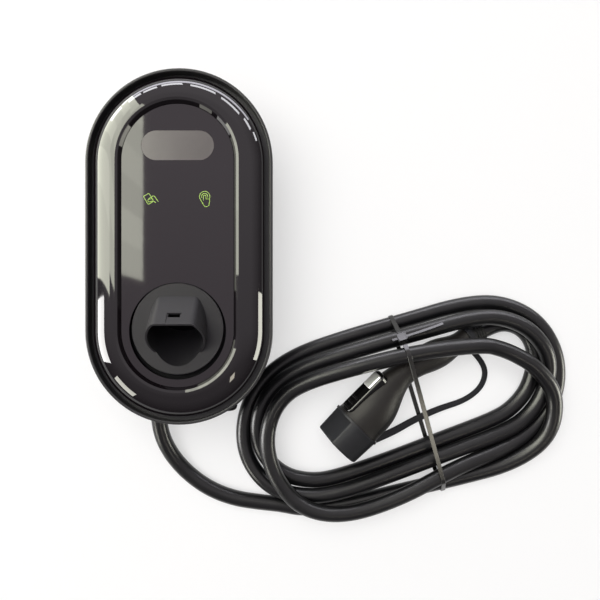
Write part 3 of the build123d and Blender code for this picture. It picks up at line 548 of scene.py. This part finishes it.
# cable tie, drawn tight round the turns and the plug where they cross its plane
tie = {
    "middle": (0.2522, -0.1636),
    "heading": -73.3,
    "width": 0.0048,
    "thick": 0.0013,
    "edge": 0.0003,
    "lowest": 0.00085,
    "holds": ("plug_shell_left", "plug_shell_right", "plug_grip"),  # besides the cable
    "plugGap": 0.001,
    "strandGap": 0.0001,
    "strandSteps": 40,
    "upperFrom": 0.02,  # the loop's upper sides start above this height
    "head": (0.009, 0.008, 0.0055),  # along the band, across it, and high
    "headAt": -0.073,
    "headEdge": 0.0008,
    "tail": (-0.011, 0.046),  # how far the tail reaches to the two sides
    "tailSteps": 20,
    "tailShare": 0.8,  # of the band's width
    "tailLift": 0.001,
    "tailCurl": 1.2,
    "teeth": {"Pitch": 0.0016, "Tooth Width": 0.0036, "Tooth Length": 0.0009, "Tooth Height": 0.0005},
    "teethDrop": 0.0002,
}
tieHeading = math.radians(tie["heading"])
tieAlong = Vector((math.cos(tieHeading), math.sin(tieHeading), 0))
tieAcross = Vector((-math.sin(tieHeading), math.cos(tieHeading), 0))
tieMiddle = Vector((*tie["middle"], 0))


def inTie(s, z):
    return tieAlong * s + Vector((0, 0, z))


def tieCrossings(pairs):  # where lines cross the tie's plane, along it and up
    found = []
    for a, b in pairs:
        first, second = (a - tieMiddle).dot(tieAcross), (b - tieMiddle).dot(tieAcross)
        if first * second < 0:
            spot = a.lerp(b, first / (first - second))
            found.append(((spot - tieMiddle).dot(tieAlong), spot.z))
    return found


def hullAround(points):  # anticlockwise outline
    ordered = sorted(set(points))
    hull = []
    for run in (ordered, ordered[::-1]):
        chain = []
        for p in run:
            while len(chain) > 1:
                (x0, y0), (x1, y1) = chain[-2], chain[-1]
                if (x1 - x0) * (p[1] - y0) - (y1 - y0) * (p[0] - x0) > 1e-12:
                    break
                chain.pop()
            chain.append(p)
        hull += chain[:-1]
    return hull


def tieOutline():
    reach = cable["radius"] + tie["thick"] / 2 + tie["strandGap"]
    points = []
    for s, z in tieCrossings(zip(cableLine, cableLine[1:])):
        for k in range(tie["strandSteps"]):
            a = 2 * math.pi * k / tie["strandSteps"]
            points.append((s + reach * math.cos(a), max(z + reach * math.sin(a), tie["lowest"])))
    for label in tie["holds"]:
        mesh, place = nodes[label].data, nodes[label].matrix_world
        ends = [place @ v.co for v in mesh.vertices]
        edges = ((ends[e.vertices[0]], ends[e.vertices[1]]) for e in mesh.edges)
        points += [(s, z + tie["plugGap"]) for s, z in tieCrossings(edges)]
    return hullAround(points)


def bandMesh(work, spots, ups, across, width, closed):
    half, rise, edge = width / 2, tie["thick"] / 2, tie["edge"]
    profile = [
        (-half, edge - rise), (edge - half, -rise), (half - edge, -rise), (half, edge - rise),
        (half, rise - edge), (half - edge, rise), (edge - half, rise), (-half, rise - edge),
    ]
    rings = []
    for spot, up in zip(spots, ups):
        rings.append([work.verts.new(spot + across * x + up * y) for x, y in profile])
    skin(work, rings, closed)


def loopBand(work, outline):
    spots, ups = [], []
    for k, (s, z) in enumerate(outline):
        before, after = outline[k - 1], outline[(k + 1) % len(outline)]
        way = Vector((after[0] - before[0], after[1] - before[1])).normalized()
        spots.append(tieMiddle + inTie(s, z))
        ups.append(inTie(way.y, -way.x))
    bandMesh(work, spots, ups, tieAcross, tie["width"], True)


def headAndTail(work, upperSides):
    at = tie["headAt"]
    (s0, z0), (s1, z1) = next(p for p in upperSides if (p[0][0] - at) * (p[1][0] - at) <= 0)
    headWay = inTie(s1 - s0, z1 - z0).normalized()
    headUp = tieAcross.cross(headWay)
    headUp = headUp if headUp.z > 0 else -headUp
    headSpot = tieMiddle + inTie(at, z0 + (z1 - z0) * (at - s0) / (s1 - s0))
    headSpot += headUp * (tie["head"][2] - tie["thick"]) / 2
    corners = bmesh.ops.create_cube(work, size=1.0)["verts"]
    for corner in corners:
        x, y, z = (corner.co[k] * tie["head"][k] for k in range(3))
        corner.co = headSpot + headWay * x + tieAcross * y + headUp * z
    edges = list(dict.fromkeys(e for corner in corners for e in corner.link_edges))  # each once, in a fixed order
    bmesh.ops.bevel(work, geom=edges, offset=tie["headEdge"], segments=2, affect="EDGES")
    low, high = tie["tail"]
    reaches = [low + (high - low) * k / tie["tailSteps"] for k in range(tie["tailSteps"] + 1)]
    spots = [headSpot + tieAcross * x + headUp * (tie["tailLift"] + tie["tailCurl"] * x * x) for x in reaches]
    bandMesh(work, spots, [headUp] * len(spots), headWay, tie["width"] * tie["tailShare"], False)


def teethTree():
    board, start = growTree("tieTeeth", tie["teeth"])
    row = board.add(
        "GeometryNodeCurveToPoints", {"mode": "LENGTH"},
        {"Curve": railCurve(board, start), "Length": start.out("Pitch")},
    )
    size = board.add(
        "ShaderNodeCombineXYZ", None,
        {"X": start.out("Tooth Width"), "Y": start.out("Tooth Height"), "Z": start.out("Tooth Length")},
    ).out()
    tooth = board.add("GeometryNodeMeshCube", None, {"Size": size}).out()
    teeth = board.add(
        "GeometryNodeInstanceOnPoints", None,
        {"Points": row.out("Points"), "Instance": tooth, "Rotation": row.out("Rotation")},
    ).out()
    return closeTree(board, start, teeth)


outline = tieOutline()
upperSides = [(a, b) for a, b in zip(outline[-1:] + outline, outline) if a[1] > tie["upperFrom"]]
tieWork = bmesh.new()
loopBand(tieWork, outline)
headAndTail(tieWork, upperSides)
coilTie = pieceFrom("coilTie", meshFrom("coilTie", tieWork), "tie_nylon")
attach(coilTie, "wallbox")
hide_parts("cable_tie")
freeEnds = max(upperSides, key=lambda side: math.dist(*side))
print("tie drawn, free stretch", [[round(c, 4) for c in end] for end in freeEnds])

# teeth on the inner side of the tie's free stretch
toothEnds = [tieMiddle + inTie(s, z - tie["thick"] / 2 - tie["teethDrop"]) for s, z in freeEnds]
tieTeeth = grow("tieTeeth", teethTree(), tie["teeth"], "tie_nylon", toothEnds, [(0, 1)])
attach(tieTeeth, "wallbox")

print("cords laid")

# screws in the back, with hexagon sockets
caseScrew = {
    "places": [(0.071, 0.03), (0.071, -0.0845), (0.04072, 0.14266)],
    "seat": 0.044,
    "sizes": {
        "Head Radius": 0.0038, "Head Height": 0.0035, "Stem Radius": 0.002, "Stem Length": 0.0245,
        "Socket Radius": 0.0021, "Socket Depth": 0.0022,
    },
    "sides": {"head": 32, "stem": 24, "socket": 6},
}


def rodNode(board, radius, depth, count, low=0.0):
    rod = board.add("GeometryNodeMeshCylinder", None, {"Vertices": count, "Radius": radius, "Depth": depth}).out()
    at = board.add("ShaderNodeCombineXYZ", None, {"Z": low + depth * 0.5}).out()
    return board.add("GeometryNodeTransform", None, {"Geometry": rod, "Translation": at}).out()


def screwTree():
    board, start = growTree("socketScrews", caseScrew["sizes"])
    sides = caseScrew["sides"]
    headHeight, socketDepth = start.out("Head Height"), start.out("Socket Depth")
    headLow = headHeight * -1.0
    head = rodNode(board, start.out("Head Radius"), headHeight, sides["head"], headLow)
    hexagon = rodNode(board, start.out("Socket Radius"), socketDepth * 2.0, sides["socket"], headLow - socketDepth)
    stem = rodNode(board, start.out("Stem Radius"), start.out("Stem Length"), sides["stem"])
    cut = {"Mesh 1": head, "Mesh 2": [hexagon]}
    head = board.add("GeometryNodeMeshBoolean", {"operation": "DIFFERENCE"}, cut).out()
    screw = board.add("GeometryNodeJoinGeometry", None, {"Geometry": [head, stem]}).out()
    sockets = {"Points": start.out("Geometry"), "Instance": screw}
    return closeTree(board, start, board.add("GeometryNodeInstanceOnPoints", None, sockets).out())


screwSpots = [(side * x, y, caseScrew["seat"]) for side in (-1, 1) for x, y in caseScrew["places"]]
caseScrews = grow("caseScrews", screwTree(), caseScrew["sizes"], "screw_steel", screwSpots)
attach(caseScrews, "wallbox")
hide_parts("case_screws")
print("screws set")

# symbols printed on the panel, drawn as fine strokes in mm from each symbol's middle
symbols = {
    "cardAt": (-0.0268, 0.0462),
    "fingerAt": (0.0271, 0.0462),
    "line": 0.0005,
    "lift": 0.00008,
    "sunk": 0.0001,
    "panelTop": 0.102,
    "color": (0.4, 0.68, 0.05),
    "handWay": (0.4, 0.6),
    "tip": (-0.3, 2.2),
}


def strokeMesh(work, points, closed):
    low, high = symbols["panelTop"] - symbols["sunk"], symbols["panelTop"] + symbols["lift"]
    spots = [Vector((x, y, 0)) for x, y in points]
    count = len(spots)
    rows = []
    for k, spot in enumerate(spots):
        before = spots[k - 1] if k or closed else spots[k]
        after = spots[(k + 1) % count] if k < count - 1 or closed else spots[k]
        way = (after - before).normalized()
        side = Vector((-way.y, way.x, 0)) * symbols["line"] / 2
        corners = ((spot + side, high), (spot - side, high), (spot - side, low), (spot + side, low))
        rows.append([work.verts.new((p.x, p.y, z)) for p, z in corners])
    skin(work, rows, closed)


def arcPoints(middle, radius, start, end, count):
    spots = []
    for k in range(count + 1):
        a = math.radians(start + (end - start) * k / count)
        spots.append((middle[0] + radius * math.cos(a), middle[1] + radius * math.sin(a)))
    return spots


def roundedLoop(corners, radius, steps=4):
    spots = []
    count = len(corners)
    for k in range(count):
        at = Vector(corners[k])
        before = (Vector(corners[k - 1]) - at).normalized()
        after = (Vector(corners[(k + 1) % count]) - at).normalized()
        first, second = at + before * radius, at + after * radius
        for s in range(steps + 1):
            t = s / steps
            p = first * (1 - t) ** 2 + at * 2 * t * (1 - t) + second * t ** 2
            spots.append((p.x, p.y))
    return spots


def turned(points, angle, shift):
    c, s = math.cos(math.radians(angle)), math.sin(math.radians(angle))
    return [(x * c - y * s + shift[0], x * s + y * c + shift[1]) for x, y in points]


def inHand(points):  # an open stroke of the hand that holds the card
    return turned(points, 0, symbols["handWay"]), False


def symbolMesh(name, at, strokes):
    work = bmesh.new()
    for points, closed in strokes:
        strokeMesh(work, [(at[0] + x * mm, at[1] + y * mm) for x, y in points], closed)
    return meshFrom(name, work, False)


cardStrokes = [
    (turned(roundedLoop([(-3.4, 4.6), (-3.4, -4.6), (2.9, -4.6), (2.9, 4.6)], 0.9), 31, (-1.6, 0)), True),
    inHand(
        [(-2.6, -1.6), (-1.0, 0.3), (1.1, 1.2)] + arcPoints((2.6, 0.6), 1.6, 150, 40, 6)
        + [(5.6, -0.9), (7.4, -3.6)]
    ),
    inHand(
        [(-2.6, -1.6)] + arcPoints((-1.6, -2.4), 1.3, 145, 270, 6)
        + [(1.2, -2.9), (3.4, -3.4), (5.2, -4.6)]
    ),
    inHand([(-1.6, -1.1), (0.6, -0.6), (2.4, -0.9)]),
]
fingerStrokes = [
    (arcPoints(symbols["tip"], 5.1, -32, 222, 26), False),
    (arcPoints(symbols["tip"], 3.1, -18, 205, 18), False),
    (arcPoints(symbols["tip"], 1.3, -10, 190, 10) + [(-1.6, -1.8)], False),
    ([(1.0, 2.0), (1.0, -0.4)], False),
    ([(-4.2, -1.2), (-1.9, -5.0)] + arcPoints((1.3, -5.0), 2.9, 200, 340, 12) + [(4.6, -2.6), (4.7, -0.4)], False),
    ([(1.0, -0.4), (2.6, -0.2), (4.7, -0.4)], False),
]
symbolGreen = printed("symbolGreen", symbols["color"])
drawnSymbols = (("cardSymbol", symbols["cardAt"], cardStrokes), ("fingerSymbol", symbols["fingerAt"], fingerStrokes))
for label, at, strokes in drawnSymbols:
    symbol = pieceFrom(label, symbolMesh(label, at, strokes), "lens_smoke", symbolGreen)
    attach(symbol, "wallbox")
print("symbols drawn")

# stage: floor, world, lamps and camera
stage = {
    "floorColor": (0.86, 0.86, 0.865, 1.0),
    "floorHalf": 6.0,
    "floorWhite": 0.5,  # share of plain white that the camera sees in the floor near the object
    "whiteFrom": (0.55, 1.6),  # and from how far out the floor turns all white
    "fill": 0.36,
    "fillColor": (1.0, 0.955, 0.935, 1.0),
    "skyColor": (1.0, 0.935, 0.985, 1.0),
    "skyLow": 0.3,  # how bright reflections see the room level with the object
    "skyNear": 0.42,  # and on the side where the viewer stands
    "skyFar": 0.4,  # more for the far side, round the panes
}
plainWhite = (1, 1, 1, 1)


def seenRays(board, rays):  # 1 for what the camera, gloss and glass see
    seen = rays.out("Is Camera Ray") + rays.out("Is Glossy Ray") + rays.out("Is Transmission Ray")
    return board.ranged(seen, 0.0, 1.0)


def paleFloor():
    f = Finish("paleFloor")
    laid = f.principled({"Base Color": stage["floorColor"], "Roughness": 0.7, "Specular IOR Level": 0.2})
    glow = f.add("ShaderNodeEmission", None, {"Color": plainWhite, "Strength": 1.0}).out()
    farOut = f.add("ShaderNodeVectorMath", {"operation": "LENGTH"}, {0: f.place()}).out("Value")
    white = f.ranged(farOut, *stage["whiteFrom"], stage["floorWhite"], 1.0)
    return f.mixed(seenRays(f, f.add("ShaderNodeLightPath")) * white, laid, glow)


floorMesh = bpy.data.meshes.new("floor")
half = stage["floorHalf"]
floorMesh.from_pydata([(-half, -half, 0), (half, -half, 0), (half, half, 0), (-half, half, 0)], [], [(0, 1, 2, 3)])
floor = bpy.data.objects.new("floor", floorMesh)
bpy.context.collection.objects.link(floor)
floorMesh.materials.append(paleFloor())

world = bpy.data.worlds.new("studio")
bpy.context.scene.world = world
world.use_nodes = True
sky = Board(world.node_tree)
rays = sky.add("ShaderNodeLightPath")
way = sky.add("ShaderNodeSeparateXYZ", None, {0: sky.add("ShaderNodeTexCoord").out("Generated")})
rising = sky.ranged(way.out("Z"), 0.1, 0.75, stage["skyLow"], 1.0)
mirrored = rising * sky.ranged(way.out("Y"), -0.35, 0.25, stage["skyNear"], 1.0)
mirrored = mirrored + sky.ranged(way.out("Y"), 0.5, 0.9, 0.0, stage["skyFar"])
direct = rays.out("Is Camera Ray")
shown = sky.add("ShaderNodeBackground", None, {
    "Color": sky.blendColor(direct, stage["skyColor"], plainWhite),
    "Strength": direct + (1.0 - direct) * mirrored,
})
fill = sky.add("ShaderNodeBackground", None, {"Color": stage["fillColor"], "Strength": stage["fill"]})
mixed = sky.add("ShaderNodeMixShader", None, {0: seenRays(sky, rays), 1: fill.out(), 2: shown.out()})
sky.add("ShaderNodeOutputWorld", None, {0: mixed.out()})


def softLamp(name, at, facing, size, color, radiance, mirrored=True):  # seen in gloss faces, or else lights matt ones
    data = bpy.data.lights.new(name, "AREA")
    data.shape = "RECTANGLE"
    data.size, data.size_y = size
    data.color = color
    data.energy = radiance * math.pi * size[0] * size[1]
    lamp = bpy.data.objects.new(name, data)
    bpy.context.collection.objects.link(lamp)
    lamp.location = at
    lamp.rotation_euler = (Vector(facing) - Vector(at)).normalized().to_track_quat("-Z", "Y").to_euler()
    lamp.visible_camera = False
    lamp.visible_diffuse = not mirrored
    lamp.visible_glossy = mirrored


softLamp("key", (-0.7, 0.6, 3.6), (0.12, -0.08, 0.0), (3.6, 3.6), (1.0, 0.99, 0.975), 3.75, False)

# a curtained window on the left, in folds: the upper part starts further along than the lower
curtain = {
    "x": -1.5,
    "facing": 0.5,
    "color": (0.985, 1.0, 0.84),
    "tiers": [
        {"from": 0.08, "to": 2.2, "low": 0.02, "high": 2.2, "folds": (10.4, 11.4, 9.6, 11.2, 9.8, 11.0, 9.6)},
        {"from": 0.2, "to": 2.2, "low": 2.2, "high": 4.0, "folds": (8.4, 9.4, 8.0, 9.0, 8.2, 9.2)},
        {"from": 0.42, "to": 2.3, "low": 4.0, "high": 5.95, "folds": (6.6, 7.4, 6.2, 7.0, 6.4, 7.2)},
    ],
}
for level, tier in enumerate(curtain["tiers"]):
    foldWidth = (tier["to"] - tier["from"]) / len(tier["folds"])
    size = (foldWidth, tier["high"] - tier["low"])
    z = (tier["low"] + tier["high"]) / 2
    for count, bright in enumerate(tier["folds"]):
        y = tier["from"] + foldWidth * (count + 0.5)
        at, facing = (curtain["x"], y, z), (curtain["facing"], y, z)
        softLamp("curtain%d_%d" % (level, count), at, facing, size, curtain["color"], bright)

# panes beyond the case's top: which way and how high each is seen, and how wide and high it is, in degrees
panes = {
    "distance": 3.2,
    "facing": (0, 0, 0.1),
    "color": (0.96, 0.96, 1.0),
    "bright": 13.0,
    "seen": [
        (-47, 7, 9, 13), (-34, 14, 8, 9), (-25, 15, 7, 8), (-13, 14, 11, 8),
        (5, 17, 15, 8), (25, 21, 15, 8), (43, 16, 9, 8), (54, 9, 7, 7),
    ],
}
for count, seen in enumerate(panes["seen"]):
    turn, rise, wide, high = (math.radians(angle) for angle in seen)
    way = Vector((math.cos(rise) * math.sin(turn), math.cos(rise) * math.cos(turn), math.sin(rise)))
    at = Vector(panes["facing"]) + way * panes["distance"]
    size = [2 * panes["distance"] * math.tan(angle / 2) for angle in (wide, high)]
    softLamp("pane%d" % count, at, panes["facing"], size, panes["color"], panes["bright"])

# other windows seen in the gloss: where, what they face, size, colour and how bright
windows = {
    "paleBand": ((0.0, 3.6, 0.3), (0, 0, 0.1), (6.4, 0.6), (0.93, 0.91, 1.0), 8.0),
    "leftWindow": ((-1.6, -0.31, 0.52), (0, -0.2, 0.1), (0.68, 0.95), (1.0, 0.985, 0.97), 18.0),
    "lowWindow": ((-1.57, -1.35, 0.66), (0, -0.1, 0.1), (0.6, 0.7), (1.0, 0.985, 0.88), 11.0),
    "rightWindow": ((1.9, -0.43, 0.34), (0, -0.2, 0.1), (1.0, 0.62), (1.0, 0.985, 0.86), 14.0),
    "tieWindow": ((1.04, -1.4, 2.2), (0.26, -0.176, 0.045), (0.2, 0.6), (1.0, 0.94, 0.77), 9.5),
}
for label, lampFacts in windows.items():
    softLamp(label, *lampFacts)

eye = {"at": (0.1209, -0.0834, 0.72), "shift": 0.05, "focalPixels": 626.0, "imageWidth": 600, "nearest": 0.01}
cameraData = bpy.data.cameras.new("camera")
cameraData.sensor_width = 36.0
cameraData.sensor_fit = "HORIZONTAL"
cameraData.angle = 2 * math.atan(eye["imageWidth"] / 2 / eye["focalPixels"])
cameraData.clip_start = eye["nearest"]
cameraData.shift_y = eye["shift"]
camera = bpy.data.objects.new("camera", cameraData)
bpy.context.collection.objects.link(camera)
camera.location = eye["at"]
bpy.context.scene.camera = camera
bpy.context.scene.view_settings.view_transform = "Standard"
print("stage set")
